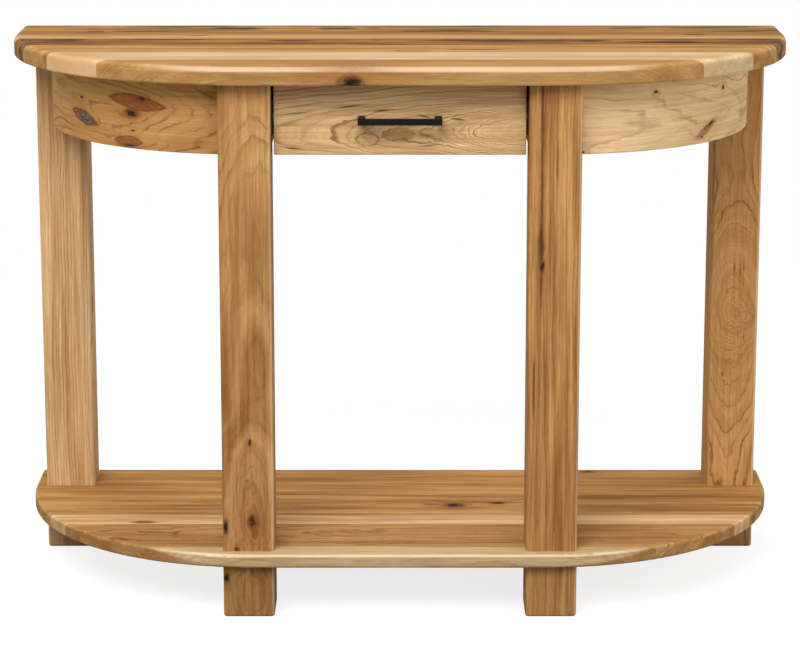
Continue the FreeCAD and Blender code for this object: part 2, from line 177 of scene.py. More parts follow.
# how often the wood's patterns change in a metre along the grain, across it and into it
grainPatterns = {
    "drift": dict(scale=(3.0, 0.0, 0.0), seed=0),
    "sink": dict(scale=(4.0, 0.0, 0.0), seed=5),
    "wave": dict(scale=(14.0, 45.0, 45.0), seed=9),
    "ripple": dict(scale=(70.0, 240.0, 240.0), seed=12, detail=3.0),
    "wobble": dict(scale=(90.0, 140.0, 140.0), seed=15, detail=3.0),
    "broken": dict(scale=(9.0, 60.0, 60.0), seed=18),
    "band": dict(scale=(90.0, 2.5, 6.0), seed=20, detail=3.0),  # across the rings, along and into
    "cloud": dict(scale=(4.0, 14.0, 14.0), seed=23),
    "sapEdge": dict(scale=(5.0, 20.0, 20.0), seed=26),
    "strand": dict(seed=28, detail=4.0, roughness=0.6),
    "fibre": dict(scale=(16.0, 430.0, 430.0), seed=30, detail=3.0, roughness=0.6),
    "fine": dict(scale=(70.0, 1700.0, 1700.0), seed=33),
    "pore": dict(scale=(100.0, 2100.0, 2100.0), seed=36, detail=1.0),
    "streak": dict(seed=40, detail=4.0, roughness=0.55),
    "mottle": dict(scale=(120.0, 260.0, 260.0), seed=45, detail=4.0, roughness=0.65),
    "speck": dict(scale=(450.0, 650.0, 650.0), seed=50),
}


# the grain's own axes in a piece, and the patterns on them
class Grain:
    def __init__(self, look, x, y, z):
        self.along, self.across, self.deep = grainAxes(look["way"], x, y, z)
        self.point = combine(self.along, self.across, self.deep)
        self.seed = look["seed"]

    def pattern(self, kind, point=None, **changes):
        settings = {**grainPatterns[kind], **changes}
        settings["seed"] += self.seed
        return noise(point or self.point, **settings)

    def swing(self, kind, **changes):  # a pattern about zero, up to a half either way
        return self.pattern(kind, **changes) - 0.5


# what every knot has until its kind or its own dictionary changes it
plainKnot = dict(
    # how far it pushes the rings aside and curls them, and how steeply that ends
    push=1.0, pushDepth=1.6, pushEnd=0.45, curl=0.2, curlEnd=0.35,
    # its outline: pointed ends or not, its lean, and how that bends and frays
    lens=False, lean=0.0, bend=0.35, fray=0.3,
    # its own wood: how solid, how softly it ends, its rings and its clouds
    solid=0.0, fade=(0.8, 1.06), rings=3.5, ringStep=(0.2, 1.0), ringShade=0.5,
    cloudStep=(0.4, 0.7), cloudShade=0.4,
    # the tint round it, how strong and how wide
    tint=paint(160, 110, 60), halo=0.0, spread=1.8,
    # its rim, and where in the outline that is
    rim=0.0, rimAt=0.94, rimEnd=8.0, rimBreaks=(0.3, 0.6), rimColour=paint(52, 28, 14),
    # its dark heart, how ragged and how deep, with grey specks
    heart=0.0, ragged=1.6, heartStep=(0.25, 0.75), heartDepth=1.5, heartColour=paint(26, 15, 10),
    specks=0.0, speckStep=(0.48, 0.6), speckColour=paint(150, 146, 140),
)
knotKinds = {
    "burl": dict(curl=0.3),  # rings that curl round nothing
    "sound": dict(wood=paint(186, 144, 96), solid=0.25, halo=0.15, rim=0.3),
    "red": dict(wood=paint(134, 76, 32), solid=0.92, tint=paint(160, 104, 54), halo=0.35, heart=0.1,
                rim=0.75, lens=True),
    "grey": dict(wood=paint(122, 66, 32), solid=0.95, tint=paint(150, 92, 46), halo=0.4, heart=1.0,
                 rim=0.9, specks=0.7, lens=True),
    "dark": dict(wood=paint(88, 46, 22), solid=0.85, fade=(0.4, 1.25), tint=paint(128, 72, 34), halo=0.5,
                 heart=0.95, rim=0.15),
    "pin": dict(push=0.8, wood=paint(92, 52, 26), solid=0.85, fade=(0.4, 1.25), tint=paint(140, 86, 42),
                halo=0.3, heart=0.8),
}

# what every wood has until a piece's own dictionary changes it
woodBasics = dict(
    way="board", seed=1.0, level=1.0,
    pale=paint(206, 164, 110), deep=paint(180, 134, 82), dark=paint(92, 54, 26), streak=None,
    # the pith's place across and into the piece, how it leans from the middle, and how far it wanders
    pith=(0.1, -0.05), tilt=(0.0, 0.0), middle=0.0, wander=0.012,
    # width of a ring, and how far the rings wave
    ring=0.004, wave=0.003, ripple=0.0005,
    # lines at the rings, where in a ring they rise, late wood, finer lines, and the share left unbroken
    lines=0.7, line=(0.68, 0.91), shade=0.35, finer=0.25, whole=0.2,
    # broad bands and clouds, and strands
    bands=0.9, bandShare=0.6, bandStep=(0.3, 0.7), cloudShare=0.25, cloudStep=(0.3, 0.75), toneBase=0.1,
    strands=0.5, strandGain=4.0, strandSize=(5.0, 150.0, 150.0),
    # sapwood: where heart and sap begin across the board, the lean of that line, and how far it strays
    sap=None, sapLean=0.0, sapStray=0.02, sapKeep=0.45, sapTone=0.75,
    # fine and coarse fibres, and pores, with the share that late wood has
    fibre=0.35, coarse=1.6, pores=0.35, poreStep=(0.6, 0.74), latePores=0.3,
    # dark streaks by chance, and stripes and knots by their places
    streaks=0.0, streakSize=(3.0, 110.0, 70.0), streakCut=(0.6, 0.72), streakBase=0.9,
    stripes=(), stripeBend=1.2, leastTip=0.05, knots=(),
    # painted shade on upright sides, end grain, and a painted highlight on the front edge, polished
    # smoother
    paintedSideShade=0.0, endShade=0.06, endFibre=0.75, endLines=0.4, paintedHighlight=0.0, highlightColour=paint(244, 226, 196),
    polish=0.54,
    # surface
    rough=0.8, fibreRough=0.12, poreRough=0.2, fibreRise=0.5, lateRise=0.25, relief=0.00025, gloss=0.12,
)

# how far a face has to turn to count as one of these, in parts of its normal
faceTurns = dict(arris=(0.15, 0.5), roundOver=(0.1, 0.4, 0.8, 0.98), front=(0.9, 0.985),
                 side=(0.3, 0.8), end=(0.25, 0.95), least=0.001)
endAxis = dict(board=0, panel=0, rail=1, post=2)  # an apron's ends are against the legs


# the edge that gets a painted highlight, pale and polished smooth: on a board its front round-over and on
# a post its front arris on the right; upright sides, which get painted shade; end grain
def faceKinds(tree, way):
    surface = tree.nodes.new("ShaderNodeNewGeometry")
    split = tree.nodes.new("ShaderNodeSeparateXYZ")
    tree.links.new(surface.outputs["Normal"], split.inputs[0])
    rightwards, backwards, upwards = (Flow(tree, socket) for socket in split.outputs)
    facing = [turn.math("ABSOLUTE") for turn in (rightwards, backwards, upwards)]
    frontwards = backwards * -1.0
    # a painted highlight goes on the edge marked here
    if way == "post":
        edges = rightwards.step(*faceTurns["arris"]) * frontwards.step(*faceTurns["arris"])
    else:
        straight = frontwards / (length(facing[0], facing[1]) + faceTurns["least"])
        edges = upwards.ridge(*faceTurns["roundOver"]) * straight.step(*faceTurns["front"])
    # painted shade goes on the upright faces marked here
    sides = facing[2].step(*faceTurns["side"]).flip()
    ends = facing[endAxis[way]].step(*faceTurns["end"]) if way in endAxis else facing[0] * 0.0
    return edges, sides, ends


# each knot's look, how far a point is from its middle, and its outline, which is 1 at its edge
def knotShapes(grain, look, wobble, mottle):
    shapes = []
    for knot in look["knots"]:
        kind = {**plainKnot, **knotKinds[knot["kind"]], **knot}
        shift = grain.along - kind["at"][0]
        reach = shift / kind["size"][0]
        if len(kind["at"]) == 3:  # on the board's edge
            up, back = ((line - middle) / half for line, middle, half
                        in zip((grain.deep, grain.across), kind["at"][1:], kind["size"][1:]))
            spread = length(up, back)
        else:
            spread = (grain.across - kind["at"][1] - shift * kind["lean"]) / kind["size"][1]
        away = length(reach, spread)
        outline = spread.math("ABSOLUTE") + reach.square() if kind["lens"] else away
        outline = outline + wobble * kind["bend"] + (mottle - 0.5) * kind["fray"]
        shapes.append((kind, away, outline))
    return shapes


# distance from a wandering pith, pushed aside and curled by the knots
def ringDistance(grain, look, knots, wobble):
    pithAcross, pithDeep = look["pith"]
    tiltAcross, tiltDeep = look["tilt"]
    run = grain.along - look["middle"]
    sideways = grain.across - pithAcross - run * tiltAcross + grain.swing("drift") * (2 * look["wander"])
    inwards = grain.deep - pithDeep - run * tiltDeep + grain.swing("sink") * (2 * look["wander"])
    rings = length(sideways, inwards)
    rings = rings + grain.swing("wave") * (2 * look["wave"])
    rings = rings + grain.swing("ripple") * (2 * look["ripple"])
    for kind, away, outline in knots:
        half = kind["size"][1]
        rings = rings - (away * kind["pushEnd"]).bell() * (kind["push"] * half * kind["pushDepth"])
        rings = rings + wobble * (away * kind["curlEnd"]).bell() * (kind["curl"] * half)
    return rings


# where the marks of a ring rise and fall, in parts of its width, and how its lines break up
ringShape = dict(late=(0.15, 0.9, 0.93, 1.0), early=(0.0, 0.3), lineEnd=(0.94, 1.0), fineCount=3.0,
                 fineShift=0.4, fine=(0.55, 0.9, 0.92, 1.0), leastWeight=0.15, breaks=(0.34, 0.62))


# late and early wood, soft shade and thin dark lines
def ringMarks(grain, look, rings):
    turns = rings / look["ring"]
    part = turns.math("FRACT")
    late = part.ridge(*ringShape["late"])
    early = part.step(*ringShape["early"]).flip()
    between = (turns * ringShape["fineCount"] + ringShape["fineShift"]).math("FRACT")
    leastWeight = ringShape["leastWeight"]
    weight = chance(turns.math("FLOOR"), look["seed"]) * (1 - leastWeight) + leastWeight
    unbroken = grain.pattern("broken").step(*ringShape["breaks"]) * (1 - look["whole"]) + look["whole"]
    soft = late * weight * look["shade"] + between.ridge(*ringShape["fine"]) * look["finer"]
    thin = part.ridge(*look["line"], *ringShape["lineEnd"]) * weight * unbroken
    return late, early, soft, thin


# broad colour from bands, clouds and strands, and from heart to sap
def groundColour(grain, look, rings):
    band = grain.pattern("band", combine(rings, grain.along, grain.deep)).step(*look["bandStep"])
    cloud = grain.pattern("cloud").step(*look["cloudStep"])
    strand = grain.swing("strand", scale=look["strandSize"])
    tone = band * (look["bands"] * look["bandShare"]) + cloud * (look["bands"] * look["cloudShare"])
    tone = tone + strand * (look["strandGain"] * look["strands"]) + look["toneBase"]
    if look["sap"]:
        heartEdge, sapEdge = look["sap"]
        stray = grain.swing("sapEdge") * look["sapStray"]
        heart = (grain.across + grain.deep * look["sapLean"] + stray).step(sapEdge, heartEdge)
        tone = tone * look["sapKeep"] + heart * look["sapTone"]
    return mixed(tone, look["pale"], look["deep"])


# dark streaks by chance, and stripes at their places
def addStreaks(colour, grain, look, fibre, wobble):
    if look["streaks"]:
        streak = grain.pattern("streak", scale=look["streakSize"]).step(*look["streakCut"])
        colour = mixed(streak * (fibre + look["streakBase"]) * look["streaks"], colour, look["dark"])
    for stripe in look["stripes"]:
        size = stripe["size"]
        start, end = stripe["run"]
        path = (grain.along - start) * stripe.get("lean", 0.0) + stripe["at"]
        path = path + wobble * (size * look["stripeBend"])
        gap = (grain.across - path) / size
        tips = grain.along.ridge(start, start + stripe["fade"], end - stripe["fade"], end)
        mark = (gap / (tips + look["leastTip"])).bell() * tips * stripe["strength"]
        colour = mixed(mark, colour, look["streak"] or look["dark"])
    return colour


def addKnots(colour, height, grain, look, knots, mottle):
    for kind, away, outline in knots:
        if kind["halo"]:
            halo = (away / kind["spread"]).bell() * (mottle + 0.5) * kind["halo"]
            colour = mixed(halo, colour, kind["tint"])
        if kind["solid"]:
            inside = outline.step(*kind["fade"]).flip() * kind["solid"]
            own = (outline * kind["rings"] + mottle).math("FRACT").step(*kind["ringStep"])
            body = mixed(own * kind["ringShade"], kind["wood"], look["dark"])
            body = mixed(mottle.step(*kind["cloudStep"]) * kind["cloudShade"], body, look["deep"])
            rim = ((outline - kind["rimAt"]) * kind["rimEnd"]).bell() * mottle.step(*kind["rimBreaks"])
            colour = mixed(inside, colour, body)
            colour = mixed(rim * kind["rim"], colour, kind["rimColour"])
        if kind["heart"]:
            ragged = outline + (mottle - 0.5) * kind["ragged"]
            heart = ragged.step(*kind["heartStep"]).flip() * kind["heart"]
            colour = mixed(heart, colour, kind["heartColour"])
            height = height - heart * kind["heartDepth"]
            if kind["specks"]:
                speck = grain.pattern("speck").step(*kind["speckStep"]) * kind["specks"]
                colour = mixed(heart * speck, colour, kind["speckColour"])
    return colour, height


def wood(name, **changes):
    look = {**woodBasics, **changes}
    material, shader, x, y, z = startMaterial(name)
    grain = Grain(look, x, y, z)
    edges, sides, ends = faceKinds(material.node_tree, look["way"])
    wobble = grain.swing("wobble")
    mottle = grain.pattern("mottle")
    knots = knotShapes(grain, look, wobble, mottle)
    rings = ringDistance(grain, look, knots, wobble)
    late, early, soft, thin = ringMarks(grain, look, rings)

    # fibres, end grain and painted side shade darken the ground; then lines, painted edge highlight,
    # pores, streaks, knots
    fibre = grain.swing("fibre") * (ends * -look["endFibre"] + 1.0)
    grey = fibre * (look["fibre"] * look["coarse"]) + grain.swing("fine") * look["fibre"]
    # painted shade: upright sides darkened
    grey = (grey - sides * look["paintedSideShade"] - ends * look["endShade"] + 1.0) * look["level"]
    colour = mixed(1.0, groundColour(grain, look, rings), combine(grey, grey, grey), "MULTIPLY")
    drawn = (ends * -look["endLines"] + 1.0) * look["lines"]
    colour = mixed(soft * drawn, colour, look["deep"])
    colour = mixed(thin * drawn, colour, look["dark"])
    # painted highlight: the front edge mixed towards a pale colour
    colour = mixed(edges * look["paintedHighlight"], colour, look["highlightColour"])
    pores = grain.pattern("pore").step(*look["poreStep"]) * look["pores"]
    pores = pores * (early * (1 - look["latePores"]) + look["latePores"])
    colour = mixed(pores, colour, look["dark"])
    colour = addStreaks(colour, grain, look, fibre, wobble)
    height = fibre * look["fibreRise"] + late * look["lateRise"] - pores
    colour, height = addKnots(colour, height, grain, look, knots, mottle)
    roughness = fibre * look["fibreRough"] + pores * look["poreRough"] + look["rough"]
    finishSurface(shader, colour, roughness - edges * look["polish"], height, look["relief"])
    shader.inputs["Specular IOR Level"].default_value = look["gloss"]
    return material


def dress(material, *names):
    for name in names:
        slots = nodes[name].data.materials
        slots.clear()
        slots.append(material)


# top boards, front to back
# painted highlight on the front round-over, painted shade on the upright sides
flats = dict(strandSize=(3.5, 55.0, 55.0), strands=0.7, paintedSideShade=0.33, paintedHighlight=0.42)
topBoards = {
    "top_board_1": dict(
        seed=1.3, pale=paint(204, 158, 98), deep=paint(173, 125, 68), pith=(-0.27, 0.69), ring=0.0035,
        lines=0.5,
        knots=[
            dict(kind="dark", at=(-0.0645, 0.741, -0.211), size=(0.019, 0.0115, 0.016), push=1.0,
                 wood=paint(60, 32, 18), fade=(0.6, 1.15), halo=0.7, spread=2.9, tint=paint(150, 94, 48),
                 heart=1.0, ragged=0.5),
        ],
    ),
    "top_board_2": dict(
        seed=2.1, pale=paint(230, 200, 156), deep=paint(212, 174, 126), pith=(-0.03, 0.70), ring=0.005,
        wave=0.004, lines=0.35, pores=0.15,
        knots=[
            dict(kind="burl", at=(-0.45, -0.1065), size=(0.06, 0.05), push=0.0, curl=0.0, halo=0.75,
                 spread=1.0, tint=paint(204, 156, 100)),
        ],
    ),
    "top_board_3": dict(
        seed=3.6, pale=paint(214, 168, 102), deep=paint(170, 120, 58), pith=(0.09, 0.72), ring=0.003,
        lines=0.5, streaks=0.3,
        stripes=[
            dict(at=-0.0598, run=(-0.03, 0.06), fade=0.03, size=0.004, strength=0.7),
            dict(at=-0.0466, run=(0.04, 0.16), fade=0.04, size=0.004, strength=0.8),
        ],
    ),
    "top_board_4": dict(
        seed=4.2, pale=paint(192, 138, 64), deep=paint(104, 58, 14), dark=paint(62, 32, 14),
        streak=paint(44, 22, 12), pith=(0.15, 0.70), streaks=0.9, streakSize=(6.0, 50.0, 50.0),
        streakCut=(0.5, 0.62),
        stripes=[
            dict(at=0.0515, run=(-0.52, -0.41), fade=0.05, size=0.0105, strength=0.95),
            dict(at=0.0575, run=(-0.4, -0.24), fade=0.05, size=0.0054, strength=0.8),
            dict(at=0.0443, run=(-0.2, -0.1), fade=0.03, size=0.0068, strength=0.8),
            dict(at=0.051, run=(-0.05, -0.018), fade=0.015, size=0.0041, strength=0.8),
            dict(at=0.0529, run=(0.03, 0.13), fade=0.04, size=0.0068, strength=0.8),
            dict(at=0.0409, run=(0.1, 0.19), fade=0.04, size=0.0068, strength=0.75),
            dict(at=0.0455, run=(0.22, 0.31), fade=0.04, size=0.0105, strength=0.95),
            dict(at=0.03, run=(0.33, 0.44), fade=0.05, size=0.0121, strength=0.9),
        ],
    ),
    "top_board_5": dict(
        seed=5.5, pale=paint(224, 178, 116), deep=paint(160, 110, 50), pith=(0.2, 0.73), ring=0.003,
        lines=0.5, sap=(0.125, 0.085), streaks=0.7, streakSize=(6.0, 60.0, 60.0),
        stripes=[
            dict(at=0.1306, run=(-0.48, -0.4), fade=0.03, size=0.005, strength=0.6),
            dict(at=0.0999, run=(-0.32, -0.25), fade=0.03, size=0.004, strength=0.6),
            dict(at=0.1104, run=(0.385, 0.445), fade=0.025, size=0.006, strength=0.9),
        ],
    ),
    "top_board_6": dict(
        seed=6.4, pale=paint(216, 162, 88), deep=paint(126, 78, 26), dark=paint(66, 36, 16),
        streak=paint(44, 22, 12), pith=(0.28, 0.71), ring=0.0035, streaks=0.9,
        streakSize=(6.0, 55.0, 55.0), streakCut=(0.51, 0.64),
        stripes=[
            dict(at=0.1795, run=(-0.285, -0.185), fade=0.03, size=0.0115, strength=1.0),
            dict(at=0.1776, run=(-0.13, -0.05), fade=0.025, size=0.009, strength=0.95),
            dict(at=0.182, run=(-0.06, -0.015), fade=0.02, size=0.0068, strength=0.6),
            dict(at=0.1455, run=(-0.46, -0.41), fade=0.02, size=0.0068, strength=0.6),
            dict(at=0.1776, run=(0.28, 0.37), fade=0.03, size=0.0068, strength=0.6),
        ],
    ),
}
for name, look in topBoards.items():
    dress(wood(name, **flats, **look), name)

# shelf boards, front to back
# less painted shade on the shelf boards' upright sides than on the top
shelfFlats = {**flats, "level": 0.85, "paintedSideShade": 0.25}
shelfBoards = {
    "shelf_board_1": dict(
        seed=11.3, pale=paint(230, 199, 153), deep=paint(172, 122, 68), pith=(-0.26, 0.06), ring=0.0045,
        lines=0.3, pores=0.15, sap=(-0.353, -0.366), sapLean=-2.1,
    ),
    "shelf_board_2": dict(
        seed=12.1, pale=paint(206, 158, 98), deep=paint(164, 114, 60), pith=(-0.10, 0.03), ring=0.005,
        wave=0.005, ripple=0.0009, lines=0.8, tilt=(0.02, 0.03),
    ),
    "shelf_board_3": dict(
        seed=13.6, pale=paint(244, 204, 150), deep=paint(200, 152, 98), pith=(0.06, 0.05), lines=0.4,
        stripes=[
            dict(at=-0.0504, run=(-0.39, -0.33), fade=0.025, size=0.006, strength=0.95),
        ],
    ),
    "shelf_board_4": dict(
        seed=14.2, pale=paint(222, 168, 102), deep=paint(150, 102, 48), pith=(0.14, 0.04), ring=0.003,
        lines=0.8, streaks=0.5, streakSize=(5.0, 60.0, 60.0),
        knots=[
            dict(kind="dark", at=(0.0772, 0.0305), size=(0.018, 0.012)),
            dict(kind="dark", at=(0.1407, 0.0415), size=(0.012, 0.0065)),
        ],
        stripes=[
            dict(at=0.035, run=(0.02, 0.07), fade=0.02, size=0.003, strength=0.6),
        ],
    ),
    "shelf_board_5": dict(
        seed=15.5, pale=paint(218, 164, 98), deep=paint(160, 110, 52), pith=(0.30, 0.06), ring=0.003,
        lines=0.8, streaks=0.4, streakSize=(5.0, 60.0, 60.0),
        stripes=[
            dict(at=0.1755, run=(-0.25, 0.3), fade=0.1, size=0.0018, strength=0.7),
        ],
    ),
    "shelf_board_6": dict(
        seed=16.4, pale=paint(218, 162, 94), deep=paint(162, 110, 52), pith=(0.26, 0.05), ring=0.0035,
        lines=0.8, streaks=0.5, streakSize=(5.0, 60.0, 60.0),
        knots=[
            dict(kind="dark", at=(0.2804, 0.2), size=(0.012, 0.004)),
        ],
    ),
}
for name, look in shelfBoards.items():
    dress(wood(name, **shelfFlats, **look), name)
print("top and shelf boards done")

# legs, each with the foot cut from the same stock, and painted shade making it darker near the floor; foot
# is its level
# painted highlight on each leg's front arris on the right
legBasics = dict(way="post", paintedHighlight=0.18, polish=0.1, fibre=0.5)
legs = {
    "front_left": dict(
        seed=21.2, pale=paint(200, 152, 96), deep=paint(146, 98, 50), pith=(-0.2, -0.10), ring=0.0055,
        wave=0.004, wander=0.02, lines=0.42, bands=1.2, strands=0.4, tilt=(0.01, 0.07), middle=0.4,
        level=0.84, foot=0.62,
        knots=[
            dict(kind="burl", at=(0.21, -0.198), size=(0.04, 0.02), push=0.5),
            dict(kind="burl", at=(0.37, -0.19), size=(0.03, 0.012), push=0.8),
            dict(kind="burl", at=(0.17, -0.205), size=(0.03, 0.014), push=0.9),
            dict(kind="pin", at=(0.2466, -0.2024), size=(0.007, 0.003)),
            dict(kind="dark", at=(0.1292, -0.2366), size=(0.013, 0.004)),
            dict(kind="dark", at=(0.1346, -0.1993), size=(0.013, 0.0085)),
            dict(kind="red", at=(0.1197, -0.197), size=(0.009, 0.004)),
            dict(kind="pin", at=(0.0976, -0.2214), size=(0.005, 0.0045), push=3.0),
            dict(kind="burl", at=(0.04, -0.2), size=(0.03, 0.02), push=0.8),
            dict(kind="dark", at=(0.0564, -0.2361), size=(0.01, 0.005)),
        ],
    ),
    "front_right": dict(
        seed=22.6, pale=paint(204, 154, 94), deep=paint(146, 96, 50), dark=paint(84, 44, 20),
        pith=(0.36, -0.13), wave=0.0022, lines=0.55, strands=0.7, level=0.85, foot=0.76, streaks=0.4,
        streakSize=(2.5, 120.0, 90.0),
        knots=[
            dict(kind="dark", at=(0.4909, 0.1891), size=(0.01, 0.0038)),
        ],
        stripes=[
            dict(at=0.1878, run=(0.4, 0.9), fade=0.08, size=0.0022, strength=0.9),
            dict(at=0.1874, run=(0.48, 0.56), fade=0.035, size=0.0042, strength=0.95),
            dict(at=0.1797, run=(0.27, 0.38), fade=0.03, size=0.0016, strength=0.8),
            dict(at=0.208, run=(0.58, 0.68), fade=0.04, size=0.0012, strength=0.7),
        ],
    ),
    "back_left": dict(
        seed=23.1, pale=paint(228, 188, 136), deep=paint(182, 138, 88), pith=(-0.62, 0.14), ring=0.0045,
        wander=0.016, lines=0.75, strands=0.6, streaks=0.2, level=0.84, foot=0.68,
    ),
    "back_right": dict(
        seed=24.4, pale=paint(208, 158, 100), deep=paint(162, 112, 60), pith=(0.48, 0.06), ring=0.0045,
        wave=0.004, ripple=0.0011, wander=0.02, lines=0.9, shade=0.6, strands=0.3, level=0.86, foot=0.68,
        knots=[
            dict(kind="burl", at=(0.352, 0.492), size=(0.05, 0.026), push=1.6),
            dict(kind="burl", at=(0.39, 0.475), size=(0.03, 0.016), push=0.9),
            dict(kind="burl", at=(0.295, 0.5), size=(0.02, 0.018), push=-0.6),
            dict(kind="sound", at=(0.3621, 0.4771), size=(0.006, 0.005)),
            dict(kind="sound", at=(0.3477, 0.4995), size=(0.009, 0.013)),
            dict(kind="pin", at=(0.4226, 0.4825), size=(0.008, 0.0012), solid=0.6, heart=0.3),
            dict(kind="pin", at=(0.417, 0.4915), size=(0.011, 0.001), solid=0.6, heart=0.3),
            dict(kind="pin", at=(0.421, 0.4965), size=(0.006, 0.001), solid=0.6, heart=0.3),
            dict(kind="pin", at=(0.3206, 0.4905), size=(0.005, 0.001), solid=0.5, heart=0.2),
            dict(kind="pin", at=(0.3186, 0.4985), size=(0.006, 0.0012), solid=0.5, heart=0.2),
            dict(kind="pin", at=(0.2627, 0.4688), size=(0.004, 0.0012), heart=0.4),
        ],
    ),
}
for name, look in legs.items():
    footShadeLevel = look.pop("foot")
    dress(wood(name + "_leg", **legBasics, **look), name + "_leg")
    # painted shade: the foot is the leg's own wood at the lower level
    dress(wood(name + "_foot", **{**legBasics, **look, "level": footShadeLevel}), name + "_foot")
print("legs and feet done")

# aprons, and the rails that carry the drawer
aprons = {
    "left_apron": dict(
        way="arc", seed=31.5, pale=paint(204, 156, 96), deep=paint(168, 118, 64), pith=(0.69, 0.20),
        ring=0.007, wave=0.007, ripple=0.0012, wander=0.02, tilt=(0.02, 0.12), lines=0.8, shade=0.25,
        middle=0.2, level=0.81,
        knots=[
            dict(kind="grey", at=(0.272, 0.6696), size=(0.034, 0.0095), lean=0.2),
            dict(kind="red", at=(0.166, 0.700), size=(0.05, 0.0105), lean=0.09),
            dict(kind="dark", at=(0.155, 0.7045), size=(0.014, 0.0048), halo=0.2, push=0.2, rim=0.0),
            dict(kind="dark", at=(0.1737, 0.6843), size=(0.015, 0.0078)),
            dict(kind="red", at=(0.1808, 0.6459), size=(0.026, 0.008)),
            dict(kind="dark", at=(0.1788, 0.6409), size=(0.014, 0.0025), push=0.2),
            dict(kind="pin", at=(0.2762, 0.6961), size=(0.005, 0.0025)),
            dict(kind="pin", at=(0.1722, 0.6613), size=(0.005, 0.002)),
        ],
    ),
    "right_apron": dict(
        way="arc", seed=32.2, pale=paint(226, 194, 150), deep=paint(194, 154, 106),
        dark=paint(130, 84, 44), pith=(0.67, 0.19), ring=0.0055, wave=0.004, ripple=0.0007, wander=0.014,
        tilt=(0.0, -0.06), lines=0.85, line=(0.78, 0.93), shade=0.25, middle=0.2, level=0.87,
        knots=[
            dict(kind="pin", at=(0.1525, 0.7154), size=(0.004, 0.003)),
            dict(kind="pin", at=(0.2891, 0.7079), size=(0.005, 0.004)),
            dict(kind="red", at=(0.2494, 0.6555), size=(0.022, 0.0055), lean=0.4, solid=0.6, push=0.4),
            dict(kind="dark", at=(0.2555, 0.6605), size=(0.012, 0.003), lean=0.5, push=0.2),
            dict(kind="pin", at=(0.2385, 0.6455), size=(0.004, 0.002)),
            dict(kind="pin", at=(0.0465, 0.6399), size=(0.004, 0.002)),
        ],
    ),
    "back_apron": dict(
        way="panel", seed=33.3, pale=paint(204, 160, 106), deep=paint(170, 124, 72), pith=(0.66, 0.10),
        ring=0.006, wave=0.005, lines=0.64, tilt=(0.02, 0.04),
        knots=[
            dict(kind="pin", at=(-0.21, 0.69), size=(0.007, 0.005)),
            dict(kind="sound", at=(0.26, 0.67), size=(0.012, 0.007)),
        ],
    ),
    "left_drawer_rail": dict(way="rail", seed=34.1, pale=paint(204, 162, 108), pith=(0.60, -0.18)),
    "right_drawer_rail": dict(way="rail", seed=35.7, pale=paint(200, 156, 104), pith=(0.80, 0.18)),
}
for name, look in aprons.items():
    dress(wood(name, **look), name)

# drawer front, with arched rings round two sound knots and fine dark dashes
drawerFront = dict(
    way="panel", seed=41.4, pale=paint(212, 176, 127), deep=paint(162, 124, 80), dark=paint(108, 74, 44),
    streak=paint(66, 40, 22), pith=(0.668, -0.1085), ring=0.0033, wave=0.0026, ripple=0.0004, wander=0.01,
    tilt=(0.0, -0.08), lines=0.85, line=(0.5, 0.86), shade=0.3, whole=0.6, middle=0.05,
    knots=[
        dict(kind="burl", at=(0.165, 0.668), size=(0.05, 0.013), push=1.5, curl=0.8),
        dict(kind="sound", at=(-0.043, 0.6574), size=(0.0165, 0.0088), push=0.45, solid=0.12, rim=0.6),
        dict(kind="sound", at=(-0.002, 0.664), size=(0.022, 0.012), push=0.4, rim=0.0, solid=0.5,
             wood=paint(150, 104, 62)),
    ],
    stripes=[
        dict(at=0.6976, run=(-0.1, -0.035), lean=0.116, fade=0.03, size=0.0012, strength=0.95),
        dict(at=0.6949, run=(-0.05, 0.002), lean=0.059, fade=0.025, size=0.0012, strength=0.95),
        dict(at=0.6918, run=(0.014, 0.05), lean=-0.2, fade=0.016, size=0.0011, strength=0.9),
        dict(at=0.6868, run=(0.058, 0.096), lean=-0.13, fade=0.018, size=0.0013, strength=0.95),
        dict(at=0.6494, run=(-0.17, -0.115), lean=-0.15, fade=0.025, size=0.0013, strength=0.95),
        dict(at=0.6466, run=(0.012, 0.066), lean=0.1, fade=0.025, size=0.001, strength=0.8),
        dict(at=0.6889, run=(-0.172, -0.105), lean=0.1, fade=0.03, size=0.001, strength=0.7),
    ],
)
dress(wood("drawer_front", **drawerFront), "drawer_front")

# drawer box of plain maple, bottom of birch panel, dowels of beech
maple = dict(pale=paint(230, 208, 172), deep=paint(216, 188, 148), lines=0.29, pores=0.05, ring=0.003,
             fibre=0.1)
boxPieces = {
    "drawer_box_front": dict(way="panel", seed=51.0, pith=(0.60, -0.1)),
    "drawer_back": dict(way="panel", seed=53.3, pith=(0.75, 0.15)),
    "drawer_left_side": dict(way="rail", seed=55.6, pith=(0.62, -0.11)),
    "drawer_right_side": dict(way="rail", seed=57.9, pith=(0.73, 0.20)),
}
for name, look in boxPieces.items():
    dress(wood(name, **maple, **look), name)
birch = dict(pale=paint(226, 196, 150), deep=paint(208, 174, 124), lines=0.48, pores=0.1, ring=0.011,
             wave=0.012, pith=(0.0, 0.55), wander=0.03, seed=61.2)
dress(wood("birch_panel", **birch), "drawer_bottom")
beech = dict(pale=paint(214, 176, 132), deep=paint(198, 156, 110), lines=0.24, pores=0.5, seed=62.8)
dress(wood("beech_upright", way="post", **beech), "leg_dowels")
dress(wood("beech_across", **beech), "apron_dowels")
dress(wood("beech_along", way="rail", **beech), "rail_dowels")
print("aprons, drawer and dowels done")

# satin black coat on the pull, with the faint orange peel of powder coating
pullCoat = dict(shade=paint(6, 11, 11), light=paint(13, 19, 18), rough=0.42, gloss=0.08,
                peelSize=(900.0,) * 3, peelSeed=1.0, peelDepth=0.0001,
                cloudSize=(60.0,) * 3, cloudSeed=2.0, cloudRough=0.1)


